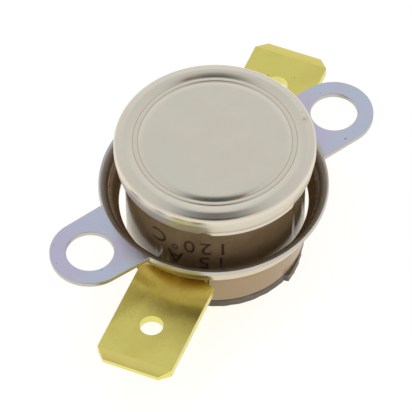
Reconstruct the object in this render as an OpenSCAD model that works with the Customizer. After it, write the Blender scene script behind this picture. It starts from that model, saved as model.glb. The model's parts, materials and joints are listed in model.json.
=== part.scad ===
// Snap-disc safety thermostat: a round switch under a drawn sensor cap, two flat blade
// terminals, and a loose mounting bracket that lies on the terminals until it is screwed down.
// Millimetres, +Z up. The origin is on the switch's axis, on the underside of the base cover.
// The front terminal points along -Y.

/* [Sensor cap] */
// Height of the sensing face above the base
cap_h = 12.35; // [11.95:0.1:13.05]
// Outside diameter of the cap
cap_d = 16; // [15.9:0.05:16.1]
// Thickness of the cap's sheet
cap_sheet = 0.3; // [0.25:0.01:0.3]
// Radius of the shoulder between face and side
shoulder_r = 0.63; // [0.55:0.01:0.7]
// Radius at which the face starts to fall towards the shoulder
fall_r = 1.5; // [1.2:0.1:1.8]
// Angle that the face has fallen to where it meets the shoulder
fall_angle = 18; // [12:1:20]
// Radius of the edge that is rolled in under the case's flange
roll_r = 0.35; // [0.35:0.01:0.4]
// Height from the underside of the rolled edge to the face
bead_h = 2.15; // [2.1:0.05:2.2]
// Diameter of the inner crease of the stamped ring groove
crease_in_d = 12.1; // [11.9:0.05:12.2]
// Diameter of the outer crease of the groove
crease_out_d = 12.88; // [12.7:0.02:12.9]
// Depth of the groove at its creases
groove_depth = 0.14; // [0.05:0.01:0.18]
// Rise of the low ridge between the creases
ridge_h = 0.035; // [0:0.005:0.05]
// Width of the soft slope inside the inner crease
slope_in = 0.55; // [0.4:0.05:0.6]
// Width of the soft slope outside the outer crease
slope_out = 0.66; // [0.4:0.02:0.68]

/* [Switch case] */
// Outside diameter of the case
case_d = 14.38; // [14.2:0.02:14.4]
// Thickness of the case's side wall
case_wall = 1.32; // [1.1:0.02:1.4]
// Diameter of the flange that the cap is rolled over
flange_d = 15; // [14.8:0.05:15]
// Thickness of that flange
flange_t = 0.65; // [0.5:0.05:0.65]
// Thickness of the floor between the contacts and the terminals
floor_t = 0.85; // [0.7:0.05:1]

/* [Base cover] */
// Thickness of the cover's plate
cover_t = 0.8; // [0.6:0.05:1]
// Height of the plug that the cover has inside the case
plug_h = 1.5; // [1:0.1:1.8]
// How far the gate lobe stands out of the cover's edge
lobe_reach = 0.3; // [0.1:0.02:0.4]
// Direction in which the lobe ends in a step
lobe_angle = -16.5; // [-60:0.5:30]
// Angle that the lobe takes to swell out of the edge
lobe_span = 24.5; // [15:0.5:40]

/* [Terminals] */
// Width of a blade
blade_w = 6.3; // [4.8:0.1:6.3]
// Thickness of a blade
blade_t = 0.8; // [0.5:0.05:0.8]
// Height of a blade's upper face above the base
blade_top = 4.35; // [4.2:0.05:4.5]
// Distance from the axis to the front blade's tip
front_tip = 17.5; // [16:0.05:18]
// Distance from the axis to the rear blade's tip
rear_tip = 17.3; // [16:0.05:18]
// Distance from the axis to the hole in a blade
hole_reach = 13.2; // [12:0.1:14]
// Diameter of that hole
blade_hole_d = 1.86; // [1:0.02:2]
// Length of the corners cut off a blade's tip
corner_l = 0.9; // [0.5:0.05:1.2]
// Width of the corners cut off a blade's tip
corner_w = 0.82; // [0.5:0.02:1]
// Length of the coined bevel at a blade's tip
bevel_l = 0.88; // [0.4:0.02:1]
// Thickness left at a blade's tip
tip_t = 0.4; // [0.2:0.05:0.6]
// Width of a terminal's neck, where it passes through the case
neck_w = 4.4; // [4:0.1:5.4]
// Distance from the axis to where the neck widens to the blade
neck_reach = 7.6; // [7.4:0.05:8]
// Length over which it widens
shoulder_l = 0.4; // [0.1:0.05:1]

/* [Mounting bracket] */
// Distance between the holes in the two ears
ear_spacing = 24; // [23:0.1:25]
// Diameter of those holes
ear_hole_d = 3.8; // [3:0.02:4.2]
// Width of an ear at its round end
ear_w = 6.38; // [6:0.02:7]
// Width of an ear where it meets the rim
ear_root_w = 6.5; // [6:0.1:8]
// Diameter of the round rim between the ears
rim_d = 18.3; // [18.2:0.05:18.6]
// Height of the ears' upper face above the base
ear_top = 7.06; // [6.9:0.02:7.2]
// Inside diameter of the bowl where the bend at the rim passes into its round wall
bowl_d = 16.68; // [16.6:0.02:16.7]
// Diameter of the hole in the bowl, which passes the case and not the cap
lip_d = 15.2; // [15.1:0.02:15.3]
// Thickness of the bracket's sheet
bracket_t = 0.42; // [0.36:0.02:0.5]
// Radius of the upper face at the bend between rim and bowl
rim_bend_r = 0.71; // [0.65:0.01:0.74]
// Angle of the ears from the X axis
bracket_turn = 58.2; // [0:0.1:180]
// How far off the axis the loose bracket lies along X
bracket_x = -0.15; // [-0.15:0.01:0.15]
// How far off the axis the loose bracket lies along Y
bracket_y = 0.02; // [-0.04:0.01:0.04]

/* [Mechanism] */
// Diameter of the bimetal disc
disc_d = 12.7; // [12:0.1:12.8]
// Thickness of the bimetal disc
disc_t = 0.15; // [0.1:0.01:0.2]
// Rise of the disc's dome while it is cold
disc_rise = 0.25; // [0.1:0.01:0.28]
// Diameter of the push pin
pin_d = 1.5; // [1:0.1:2]
// Clearance round the push pin
pin_play = 0.05; // [0.03:0.01:0.1]
// Distance of the rivets from the axis
rivet_reach = 3.5; // [3.4:0.05:3.5]
// Diameter of a rivet's shank
rivet_d = 1.4; // [1.2:0.1:1.5]
// Diameter of a rivet's head
rivet_head_d = 2; // [1.8:0.05:2]
// Height of a rivet's head
rivet_head_h = 0.45; // [0.3:0.05:0.5]
// Width of the leaf spring and of the fixed contact's bracket
leaf_w = 2.6; // [2:0.1:3]
// Thickness of the leaf spring
leaf_t = 0.2; // [0.15:0.01:0.25]
// Height of the leaf's arm above the chamber floor
leaf_rise = 2.8; // [2.4:0.1:3]
// Thickness of the fixed contact's bracket
strip_t = 0.4; // [0.3:0.05:0.5]
// Distance of the contacts from the axis
contact_reach = 3; // [2.8:0.1:3.2]
// Diameter of a contact button
contact_d = 1.8; // [1.4:0.1:2]
// Thickness of a contact button
contact_t = 0.45; // [0.3:0.05:0.5]

/* [Hidden] */
$fn = 96;

// Overlap of a cutter past the face that it cuts
eps = 0.2;
// Radius of the rounding at the foot of the moulded case
mould_r = 0.15;
// Steps of a small rounding drawn in a profile
round_steps = 4;

// Sensor cap
cap_r = cap_d / 2;
shoulder_c = cap_r - shoulder_r;
shoulder_z = cap_h - fall_r + (fall_r - shoulder_r) * cos(fall_angle);
crown_r = shoulder_c - (fall_r - shoulder_r) * sin(fall_angle);
bead_z = cap_h - bead_h;
roll_z = bead_z + roll_r;
roll_c = cap_r - roll_r;
roll_edge_gap = 0.06;
roll_edge_r = case_d / 2 + roll_edge_gap;
crease_in = crease_in_d / 2;
crease_out = crease_out_d / 2;
slope_steps = 6;
ridge_steps = 4;

// Switch case and what stands in it
case_r = case_d / 2;
flange_z = bead_z + cap_sheet;
case_top = flange_z + flange_t;
chamber_r = case_r - case_wall;
floor_z = blade_top + floor_t;

// Base cover
blade_z = blade_top - blade_t;
head_room = 0.05;
slot_play = 0.05;
pocket_play = 0.1;
lug_set = 0.07;
lug_reach = case_r - lug_set;
lobe_sink = 0.4;
lobe_start = 0.03;
lobe_step_angle = 3;
lobe_steps = 6;

// Guide plate and disc
ledge_h = 0.3;
ledge_w = 0.5;
ledge_z = case_top + ledge_h;
ledge_r = disc_d / 2 - ledge_w;
guide_gap = 0.15;
guide_depth = 0.7;
guide_slope = 0.05;
guide_r = cap_r - cap_sheet - guide_gap;
guide_rim_in = 6.9;
guide_rim_out = 7.3;
guide_rim_gap = 0.05;
guide_bottom = case_top - guide_depth;
disc_steps = 8;
disc_gap = 0.03;

// Leaf spring and contacts
arm_z = floor_z + leaf_rise;
pin_top = ledge_z + disc_rise - disc_gap;
pin_round = 0.2;
leaf_bend_r = 0.3;
leaf_back = 5.05;
strip_bend_r = 0.2;
strip_back = 5.45;
bend_steps = 5;
foot_end = 2.3;
arm_margin = 0.2;
arm_end = contact_reach + contact_d / 2 + arm_margin;
strip_end = contact_reach - contact_d / 2 - arm_margin;
contact_z = arm_z + leaf_t + contact_t;
strip_z = contact_z + contact_t;
contact_crown = 0.12;
stem_d = 0.9;
stem_head = 0.2;
stem_spread = 0.15;
rivet_round = 0.3;
rivet_edge = 0.12;

// Mounting bracket
rim_r = rim_d / 2;
bowl_r = bowl_d / 2;
lip_r = lip_d / 2;
plate_z = ear_top - bracket_t;
bend_c = bowl_r + rim_bend_r;
bend_z = ear_top - rim_bend_r;

// The bowl's wall is one arc from the bend to the lip, whose lower edge lies on the blades
lip_w = bowl_r - lip_r;
bend_h = bend_z - blade_top;
wall_r = (pow(lip_w, 2) + pow(bend_h, 2) - pow(bracket_t, 2)) / (2 * (lip_w + bracket_t));

// Points of an arc round (cx, cz) from angle a0 to a1
function arc(cx, cz, r, a0, a1, steps) =
    [for (i = [0:steps]) let (a = a0 + (a1 - a0) * i / steps) [cx + r * cos(a), cz + r * sin(a)]];

// How far the stamped groove has pushed the sheet down at radius r: a soft slope down to
// the inner crease, a low ridge, and a soft slope up from the outer crease
function groove_fall(r) =
    r < crease_in ? groove_depth * pow(1 - (crease_in - r) / slope_in, 2)
    : r > crease_out ? groove_depth * pow(1 - (r - crease_out) / slope_out, 2)
    : groove_depth - ridge_h * (1 - pow((2 * r - crease_in - crease_out) / (crease_out - crease_in), 2));

// Radii at which the groove is drawn, from the foot of one slope to that of the other
function groove_radii() = concat(
    [for (i = [0:slope_steps]) crease_in - slope_in * (1 - i / slope_steps)],
    [for (i = [1:ridge_steps]) crease_in + (crease_out - crease_in) * i / ridge_steps],
    [for (i = [1:slope_steps]) crease_out + slope_out * i / slope_steps]
);

// Height of the domed disc over its rim at radius r
function dome(r) = disc_rise * (1 - pow(2 * r / disc_d, 2));

// A quarter of a ring in the plane of a profile: from angle a, 90 degrees on
module quarter_band(cx, cz, r_in, r_out, a) {
    translate([cx, cz]) rotate(a) intersection() {
        difference() {
            circle(r = r_out);
            circle(r = r_in);
        }
        square(r_out + eps);
    }
}

// A profile in Y and Z, given a width along X and centred on it
module across(w) {
    rotate([90, 0, 90]) translate([0, 0, -w / 2]) linear_extrude(height = w) children();
}

// What the stamped groove takes off the top of a section whose face lies at height top
module groove_dent(top) {
    polygon(concat(
        [[crease_in - slope_in, top + eps]],
        [for (r = groove_radii()) [r, top - groove_fall(r)]],
        [[crease_out + slope_out, top + eps]]
    ));
}

// The sector of a section over which the face starts to fall towards the shoulder
module face_fall(r) {
    intersection() {
        circle(r = r);
        polygon([[0, 0], [0, 2 * r], [2 * r * sin(fall_angle), 2 * r * cos(fall_angle)]]);
    }
}

// Section of the cap's outside, or of its inside when it is inset by the sheet's thickness
module cap_section(inset) {
    difference() {
        union() {
            translate([0, roll_z]) square([crown_r, cap_h - inset - roll_z]);
            translate([0, roll_z]) square([cap_r - inset, shoulder_z - roll_z]);
            translate([0, bead_z + inset]) square([roll_c, bead_h / 2]);
            translate([crown_r, cap_h - fall_r]) face_fall(fall_r - inset);
            translate([shoulder_c, shoulder_z]) circle(r = shoulder_r - inset);
            translate([roll_c, roll_z]) circle(r = roll_r - inset);
        }
        groove_dent(cap_h - inset);
    }
}

module sensor_cap() {
    color([0.78, 0.76, 0.71]) rotate_extrude() difference() {
        cap_section(0);
        cap_section(cap_sheet);
        translate([0, bead_z - eps]) square([roll_edge_r, bead_h / 2]);
    }
}

module bimetal_disc() {
    radii = [for (i = [0:disc_steps]) disc_d / 2 * i / disc_steps];
    under = [for (r = radii) [r, ledge_z + dome(r)]];
    top = [for (i = [disc_steps:-1:0]) [radii[i], ledge_z + disc_t + dome(radii[i])]];
    color([0.62, 0.6, 0.55]) rotate_extrude() polygon(concat(under, top));
}

// Seat of the disc: a ledge under its rim, a dish that it can snap into, and the pin's guide hole
module guide_plate() {
    hole_r = pin_d / 2 + pin_play;
    rim_top = cap_h - cap_sheet - guide_rim_gap;
    color([0.86, 0.82, 0.72]) rotate_extrude() polygon([
        [hole_r, guide_bottom], [chamber_r - slot_play, guide_bottom],
        [chamber_r - slot_play, case_top], [guide_r, case_top],
        [guide_r, ledge_z], [guide_rim_out, ledge_z],
        [guide_rim_out, rim_top], [guide_rim_in, rim_top],
        [guide_rim_in, ledge_z], [ledge_r, ledge_z],
        [ledge_r - disc_rise, ledge_z - disc_rise], [hole_r, ledge_z - disc_rise - guide_slope]
    ]);
}

module push_pin() {
    r = pin_d / 2;
    foot = arm_z + leaf_t;
    color([0.93, 0.92, 0.88]) rotate_extrude() polygon(concat(
        [[0, foot]], arc(r - pin_round, foot + pin_round, pin_round, -90, 0, round_steps),
        arc(r - pin_round, pin_top - pin_round, pin_round, 0, 90, round_steps), [[0, pin_top]]
    ));
}

// The slot in the case's wall that a terminal's neck passes through, open from below
module neck_slot(side) {
    rotate(side) translate([-neck_w / 2 - slot_play, -case_r - eps, cover_t - eps])
        cube([neck_w + 2 * slot_play, case_r + eps - foot_end, blade_top - cover_t + eps]);
}

module switch_case() {
    color([0.68, 0.6, 0.47]) difference() {
        rotate_extrude() {
            difference() {
                translate([0, cover_t]) square([case_r, case_top - cover_t]);
                translate([case_r - mould_r, cover_t]) square(mould_r);
            }
            intersection() {
                translate([case_r - mould_r, cover_t + mould_r]) circle(r = mould_r);
                translate([case_r - mould_r, cover_t]) square(mould_r);
            }
            translate([0, flange_z]) square([flange_d / 2, flange_t]);
        }
        translate([0, 0, floor_z]) cylinder(r = chamber_r, h = case_top - floor_z + eps);
        translate([0, 0, cover_t - eps]) cylinder(r = chamber_r, h = blade_top - cover_t + eps);
        for (side = [0, 180]) {
            neck_slot(side);
            rotate(side) translate([0, -rivet_reach, blade_top - eps])
                cylinder(d = rivet_d, h = floor_t + 2 * eps);
        }
    }
}

// Gate lobe: the edge swells out to where the cover was broken off its runner, and steps back
module gate_lobe() {
    inner = case_r - lobe_sink;
    swell = [for (i = [0:lobe_steps]) let (
        a = lobe_span * (1 - i / lobe_steps),
        r = case_r - lobe_start + (lobe_reach + lobe_start) * i / lobe_steps
    ) [r * cos(a), r * sin(a)]];
    linear_extrude(height = cover_t) rotate(lobe_angle) polygon(concat(
        [[inner * cos(lobe_span), inner * sin(lobe_span)]], swell,
        [[inner * cos(lobe_step_angle), -inner * sin(lobe_step_angle)]]
    ));
}

module base_cover() {
    plug_r = chamber_r - slot_play;
    color([0.4, 0.37, 0.33]) difference() {
        union() {
            cylinder(r = case_r, h = cover_t);
            gate_lobe();
            translate([0, 0, cover_t]) cylinder(r = plug_r, h = plug_h);
            intersection() {
                translate([0, 0, cover_t]) cylinder(r = lug_reach, h = blade_z - cover_t);
                for (side = [0, 180]) rotate(side) translate([-neck_w / 2, -case_r, cover_t])
                    cube([neck_w, case_r - foot_end, blade_z - cover_t]);
            }
        }
        for (side = [0, 180]) rotate(side)
            translate([0, -rivet_reach, blade_z - rivet_head_h - head_room])
                cylinder(r = rivet_head_d / 2 + pocket_play, h = rivet_head_h + head_room + eps);
    }
}

// Flat outline of a terminal that points along -Y: neck, shoulders, blade and cut corners
module terminal_outline(tip) {
    half = blade_w / 2;
    neck = neck_w / 2;
    shoulder = neck_reach + shoulder_l;
    polygon([
        [-neck, -foot_end], [-neck, -neck_reach], [-half, -shoulder],
        [-half, corner_l - tip], [corner_w - half, -tip],
        [half - corner_w, -tip], [half, corner_l - tip],
        [half, -shoulder], [neck, -neck_reach], [neck, -foot_end]
    ]);
}

// A wedge that coins one face of the tip; the blade lies from z = 0 up
module tip_bevel(tip) {
    fall = (blade_t - tip_t) / 2;
    across(blade_w + 2 * eps) polygon([
        [bevel_l - tip, blade_t], [-tip, blade_t - fall],
        [-tip - eps, blade_t - fall * (1 + eps / bevel_l)],
        [-tip - eps, blade_t + eps], [bevel_l - tip, blade_t + eps]
    ]);
}

module terminal(tip) {
    color([0.78, 0.72, 0.36]) translate([0, 0, blade_z]) difference() {
        linear_extrude(height = blade_t) terminal_outline(tip);
        tip_bevel(tip);
        translate([0, 0, blade_t]) mirror([0, 0, 1]) tip_bevel(tip);
        translate([0, -hole_reach, -eps]) cylinder(d = blade_hole_d, h = blade_t + 2 * eps);
        translate([0, -rivet_reach, -eps]) cylinder(d = rivet_d, h = blade_t + 2 * eps);
    }
}

module front_terminal() {
    terminal(front_tip);
}

module rear_terminal() {
    rotate(180) terminal(rear_tip);
}

// A set rivet on the front side, which clamps a sheet of thickness t to the chamber floor
module rivet(t) {
    head_r = rivet_head_d / 2;
    low = blade_z - rivet_head_h + rivet_round;
    top = floor_z + t;
    color([0.75, 0.74, 0.7]) translate([0, -rivet_reach, 0]) rotate_extrude() polygon(concat(
        [[0, low - rivet_round]], arc(head_r - rivet_round, low, rivet_round, -90, 0, round_steps),
        [[head_r, blade_z], [rivet_d / 2, blade_z], [rivet_d / 2, top], [head_r, top]],
        [[head_r, top + rivet_edge], [rivet_d / 2, top + rivet_head_h], [0, top + rivet_head_h]]
    ));
}

module fixed_rivet() {
    rivet(strip_t);
}

module spring_rivet() {
    rotate(180) rivet(leaf_t);
}

// A strip bent to a C: a foot on the chamber floor, a back beside the wall and an arm
// that ends at y = arm_tip; drawn for the front side
module c_strip(t, back, rise, arm_tip, bend) {
    c = -back + bend + t;
    low = floor_z + bend + t;
    high = rise - bend;
    across(leaf_w) polygon(concat(
        [[-foot_end, floor_z]], arc(c, low, bend + t, 270, 180, bend_steps),
        arc(c, high, bend + t, 180, 90, bend_steps), [[arm_tip, rise + t], [arm_tip, rise]],
        arc(c, high, bend, 90, 180, bend_steps), arc(c, low, bend, 180, 270, bend_steps),
        [[-foot_end, floor_z + t]]
    ));
}

// The rivet's hole in the foot of a strip of thickness t
module rivet_hole(t) {
    translate([0, -rivet_reach, floor_z - eps]) cylinder(d = rivet_d, h = t + 2 * eps);
}

module contact_spring() {
    color([0.8, 0.6, 0.36]) difference() {
        rotate(180) difference() {
            c_strip(leaf_t, leaf_back, arm_z, arm_end, leaf_bend_r);
            rivet_hole(leaf_t);
        }
        translate([0, -contact_reach, arm_z - eps]) cylinder(d = stem_d, h = leaf_t + 2 * eps);
    }
}

module fixed_contact_bracket() {
    color([0.76, 0.7, 0.4]) difference() {
        c_strip(strip_t, strip_back, strip_z, -strip_end, strip_bend_r);
        rivet_hole(strip_t);
        translate([0, -contact_reach, strip_z - eps]) cylinder(d = stem_d, h = strip_t + 2 * eps);
    }
}

// A contact button with its face up at z = 0, its stem through a sheet of thickness t
module contact_button(t) {
    r = contact_d / 2;
    stem_r = stem_d / 2;
    back = contact_t + t;
    color([0.86, 0.86, 0.84]) rotate_extrude() polygon([
        [0, 0], [r / 2, -contact_crown / 4], [r, -contact_crown], [r, -contact_t],
        [stem_r, -contact_t], [stem_r, -back], [stem_r + stem_spread, -back],
        [stem_r, -back - stem_head], [0, -back - stem_head]
    ]);
}

module moving_contact() {
    translate([0, -contact_reach, contact_z]) contact_button(leaf_t);
}

module fixed_contact() {
    translate([0, -contact_reach, contact_z]) mirror([0, 0, 1]) contact_button(strip_t);
}

// Flat outline of the bracket: the round rim with an ear on each side along X
module bracket_outline() {
    end_r = ear_w / 2;
    circle(r = rim_r);
    for (side = [0, 180]) rotate(side) {
        translate([ear_spacing / 2, 0]) circle(r = end_r);
        polygon([
            [0, -ear_root_w / 2], [rim_r, -ear_root_w / 2], [ear_spacing / 2, -end_r],
            [ear_spacing / 2, end_r], [rim_r, ear_root_w / 2], [0, ear_root_w / 2]
        ]);
    }
}

// Section of the drawn bowl: the bend at the rim, and the round wall down to the pierced lip
module bowl_profile() {
    outer_r = wall_r + bracket_t;
    quarter_band(bend_c, bend_z, rim_bend_r - bracket_t, rim_bend_r, 90);
    intersection() {
        quarter_band(bowl_r - wall_r, bend_z, wall_r, outer_r, 270);
        translate([lip_r, bend_z - outer_r]) square(outer_r);
    }
}

module mounting_bracket() {
    color([0.66, 0.67, 0.74]) translate([bracket_x, bracket_y, 0]) rotate(bracket_turn) {
        difference() {
            translate([0, 0, plate_z]) linear_extrude(height = bracket_t) bracket_outline();
            translate([0, 0, plate_z - eps]) cylinder(r = bend_c, h = bracket_t + 2 * eps);
            for (side = [-1, 1]) translate([side * ear_spacing / 2, 0, plate_z - eps])
                cylinder(d = ear_hole_d, h = bracket_t + 2 * eps);
        }
        rotate_extrude() bowl_profile();
    }
}

sensor_cap();
bimetal_disc();
guide_plate();
push_pin();
switch_case();
contact_spring();
moving_contact();
fixed_contact_bracket();
fixed_contact();
front_terminal();
rear_terminal();
spring_rivet();
fixed_rivet();
base_cover();
mounting_bracket();
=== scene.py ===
"""Looks of a round snap-disc safety thermostat, built round its packed construction.

Sizes are millimetres, as a maker's drawing gives them. Each new piece is modelled at that
scale and brought to metres when it is finished, so that it lies where the construction has it.
"""

import json
import logging
import math
from collections.abc import Callable, Iterable
from dataclasses import dataclass, field
from enum import Enum
from functools import cache

import bmesh
import bpy
from mathutils import Matrix, Vector, noise

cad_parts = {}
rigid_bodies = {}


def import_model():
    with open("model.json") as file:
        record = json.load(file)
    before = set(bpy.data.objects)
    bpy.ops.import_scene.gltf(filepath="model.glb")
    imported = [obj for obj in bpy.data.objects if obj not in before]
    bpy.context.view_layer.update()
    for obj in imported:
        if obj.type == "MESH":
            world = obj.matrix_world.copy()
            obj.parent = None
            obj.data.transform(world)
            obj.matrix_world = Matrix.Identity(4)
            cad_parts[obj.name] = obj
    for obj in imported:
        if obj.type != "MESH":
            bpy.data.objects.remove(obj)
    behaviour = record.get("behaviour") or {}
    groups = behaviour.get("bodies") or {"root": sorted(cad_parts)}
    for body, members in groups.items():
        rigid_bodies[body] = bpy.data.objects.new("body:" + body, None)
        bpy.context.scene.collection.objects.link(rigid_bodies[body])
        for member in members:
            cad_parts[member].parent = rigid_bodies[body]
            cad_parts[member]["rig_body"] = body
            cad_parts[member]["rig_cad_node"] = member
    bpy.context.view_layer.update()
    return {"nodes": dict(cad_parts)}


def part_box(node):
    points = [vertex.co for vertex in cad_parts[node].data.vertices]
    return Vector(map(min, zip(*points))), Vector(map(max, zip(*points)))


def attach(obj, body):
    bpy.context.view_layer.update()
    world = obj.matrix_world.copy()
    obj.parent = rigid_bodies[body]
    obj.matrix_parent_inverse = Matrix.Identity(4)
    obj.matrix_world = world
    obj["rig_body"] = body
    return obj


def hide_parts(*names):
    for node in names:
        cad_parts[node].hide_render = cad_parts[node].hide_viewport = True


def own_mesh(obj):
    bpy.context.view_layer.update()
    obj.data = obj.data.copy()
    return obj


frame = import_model()

MM = 0.001
WELD = 0.0005
SPIN_STEPS = 240
SHARP = 40
HOLE_FACETS = 72
THROUGH = 3.0
LOG = logging.getLogger("thermostat")

Point = tuple[float, float]
Place = tuple[float, float, float]
Element = bmesh.types.BMVert | bmesh.types.BMEdge
Settings = dict[str | int, object]
Piece = bpy.types.Object
Material = bpy.types.Material
Node = bpy.types.Node
Socket = bpy.types.NodeSocket


class Body(Enum):
    """The bodies that the new pieces ride on."""

    SWITCH = "switch"
    BRACKET = "bracket"


class Side(Enum):
    """The two blades, by the turn that brings the front one there, in degrees."""

    FRONT = 0
    REAR = 180


class Select(Enum):
    """What edit mode selects."""

    POINT = "VERT"
    EDGE = "EDGE"


# Numbers and outlines


def linear(code: str) -> tuple[float, float, float, float]:
    """Turns an sRGB colour into the linear one that shaders take.

    Args:
        code: Six hex digits.

    Returns:
        Linear red, green and blue, and an alpha of 1.
    """
    values = [int(code[i : i + 2], 16) / 255 for i in (0, 2, 4)]
    parts = [v / 12.92 if v <= 0.04045 else ((v + 0.055) / 1.055) ** 2.4 for v in values]
    return (parts[0], parts[1], parts[2], 1.0)


def per_mm(size: float) -> float:
    """Gives the scale of a pattern whose grains measure size millimetres."""
    return 1 / (size * MM)


def arc(centre: Point, radius: float, start: float, end: float, steps: int) -> list[Point]:
    """Lists the points of an arc with that many chords, both ends included, its angles being in degrees."""
    angles = [math.radians(start + (end - start) * i / steps) for i in range(steps + 1)]
    return [(centre[0] + radius * math.cos(a), centre[1] + radius * math.sin(a)) for a in angles]


def between(a: Point, b: Point, steps: int) -> list[Point]:
    """Lists the points that divide a straight line into steps, without its first one."""
    numbers = range(1, steps + 1)
    return [(a[0] + (b[0] - a[0]) * i / steps, a[1] + (b[1] - a[1]) * i / steps) for i in numbers]


def smooth_share(value: float, full: float) -> float:
    """Rises smoothly from 0 at 0 to 1 at full."""
    t = min(1.0, max(0.0, value / full))
    return t * t * (3 - 2 * t)


def bell(value: float, peak: float, width: float) -> float:
    """Gives 1 at the peak, and some 0.37 a width away from it."""
    return math.exp(-(((value - peak) / width) ** 2))


def heading(azimuth: float, elevation: float) -> Vector:
    """Gives the direction towards a viewer; an azimuth of 0 degrees is on the -Y side, 90 on the +X side."""
    a, e = math.radians(azimuth), math.radians(elevation)
    return Vector((math.sin(a) * math.cos(e), -math.cos(a) * math.cos(e), math.sin(e)))


@cache
def box_of(node: str) -> tuple[Vector, Vector]:
    """Gives the lowest and highest corner of a construction node, in millimetres."""
    low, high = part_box(node)
    return low / MM, high / MM


# The bench: modelling by operators, as by hand


def clear_selection() -> None:
    """Leaves edit mode and deselects every object."""
    if bpy.context.object and bpy.context.object.mode != "OBJECT":
        bpy.ops.object.mode_set(mode="OBJECT")
    bpy.ops.object.select_all(action="DESELECT")


def hold(piece: Piece) -> None:
    """Makes one object the only selected and the active one.

    Args:
        piece: The object.
    """
    clear_selection()
    piece.select_set(True)
    bpy.context.view_layer.objects.active = piece


def edit(piece: Piece) -> None:
    """Opens an object in edit mode, with all of it selected.

    Args:
        piece: The object.
    """
    hold(piece)
    bpy.ops.object.mode_set(mode="EDIT")
    bpy.ops.mesh.select_all(action="SELECT")


def pick(piece: Piece, what: Select, wanted: Callable[[Element], bool]) -> None:
    """Selects elements in edit mode by a test.

    Args:
        piece: The object in edit mode.
        what: Which elements are picked.
        wanted: Says of an element whether it is selected.
    """
    bpy.ops.mesh.select_mode(type=what.value)
    bpy.ops.mesh.select_all(action="DESELECT")
    mesh = bmesh.from_edit_mesh(piece.data)
    for element in mesh.verts if what is Select.POINT else mesh.edges:
        if wanted(element):
            element.select_set(True)
    bmesh.update_edit_mesh(piece.data)


def extrude_by(step: Vector) -> None:
    """Extrudes what is selected in edit mode by a step."""
    bpy.ops.mesh.extrude_region_move(TRANSFORM_OT_translate={"value": tuple(step)})


def extrude_along(points: Iterable[Vector]) -> None:
    """Extrudes a selected vertex from the first point through the others.

    Args:
        points: The points in order.
    """
    chain = list(points)
    for a, b in zip(chain, chain[1:]):
        extrude_by(b - a)


def weld() -> None:
    """Merges the vertices that lie on each other, in edit mode."""
    bpy.ops.mesh.select_all(action="SELECT")
    bpy.ops.mesh.remove_doubles(threshold=WELD)


def face_outwards() -> None:
    """Points all faces outwards, and leaves edit mode."""
    bpy.ops.mesh.select_all(action="SELECT")
    bpy.ops.mesh.normals_make_consistent(inside=False)
    bpy.ops.object.mode_set(mode="OBJECT")


def draw(name: str, points: Iterable[Place], closed: bool = False) -> Piece:
    """Draws a chain of edges, one extruded point after another, and stays in edit mode.

    Args:
        name: Name of the new object.
        points: The chain's points.
        closed: Whether the last point joins the first.

    Returns:
        The object, in edit mode.
    """
    chain = [Vector(p) for p in points]
    clear_selection()
    bpy.ops.mesh.primitive_plane_add(size=1)
    piece = bpy.context.object
    piece.name = name
    piece.data.name = name
    bpy.ops.object.mode_set(mode="EDIT")
    bpy.ops.mesh.select_mode(type="VERT")
    bpy.ops.mesh.select_all(action="SELECT")
    bpy.ops.mesh.merge(type="CENTER")
    bpy.ops.transform.translate(value=chain[0])
    extrude_along([*chain, chain[0]] if closed else chain)
    weld()
    return piece


def spin_all(steps: int) -> None:
    """Spins what is in edit mode once round the Z axis, and welds its seam and poles.

    Args:
        steps: Number of facets round the axis.
    """
    bpy.ops.mesh.select_all(action="SELECT")
    bpy.ops.mesh.spin(steps=steps, angle=math.tau, center=(0, 0, 0), axis=(0, 0, 1))
    weld()


def turn_on_lathe(name: str, section: list[Point], steps: int = SPIN_STEPS) -> Piece:
    """Turns a section round the Z axis.

    Args:
        name: Name of the new object.
        section: Radius and height of the section's corners in order, closed if it is off the axis.
        steps: Number of facets round the axis.

    Returns:
        The turned object in object mode, its faces pointing outwards.
    """
    piece = draw(name, [(r, 0, z) for r, z in section], closed=section[0][0] > 0)
    spin_all(steps)
    face_outwards()
    return piece


def extrude_outline(name: str, outline: Iterable[Point], low: float, high: float) -> Piece:
    """Fills a closed flat outline and extrudes it upwards.

    Args:
        name: Name of the new object.
        outline: The corners in order, in the plane of X and Y.
        low: Height of the underside.
        high: Height of the top.

    Returns:
        The object in object mode, its faces pointing outwards.
    """
    piece = draw(name, [(x, y, low) for x, y in outline], closed=True)
    bpy.ops.mesh.edge_face_add()
    extrude_by(Vector((0, 0, high - low)))
    face_outwards()
    return piece


def add_modifier(piece: Piece, kind: str, settings: dict[str, object]) -> None:
    """Adds a modifier with its settings, and applies it.

    Args:
        piece: The object.
        kind: The modifier's type.
        settings: Its properties.
    """
    hold(piece)
    bpy.ops.object.modifier_add(type=kind)
    modifier = piece.modifiers[-1]
    for key, value in settings.items():
        setattr(modifier, key, value)
    bpy.ops.object.modifier_apply(modifier=modifier.name)


def combine(piece: Piece, tool: Piece, how: str = "DIFFERENCE") -> None:
    """Cuts a piece with a tool, or adds the tool to it, and uses the tool up.

    Args:
        piece: The object that stays.
        tool: The object that goes.
        how: DIFFERENCE or UNION.
    """
    add_modifier(piece, "BOOLEAN", {"object": tool, "operation": how, "solver": "EXACT"})
    hold(tool)
    bpy.ops.object.delete()


def drill(piece: Piece, at: Place, radius: float) -> None:
    """Drills a hole along Z.

    Args:
        piece: The object.
        at: Middle of the drill, which is THROUGH long.
        radius: Radius of the hole.
    """
    clear_selection()
    bpy.ops.mesh.primitive_cylinder_add(vertices=HOLE_FACETS, radius=radius, depth=THROUGH, location=at)
    combine(piece, bpy.context.object)


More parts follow.
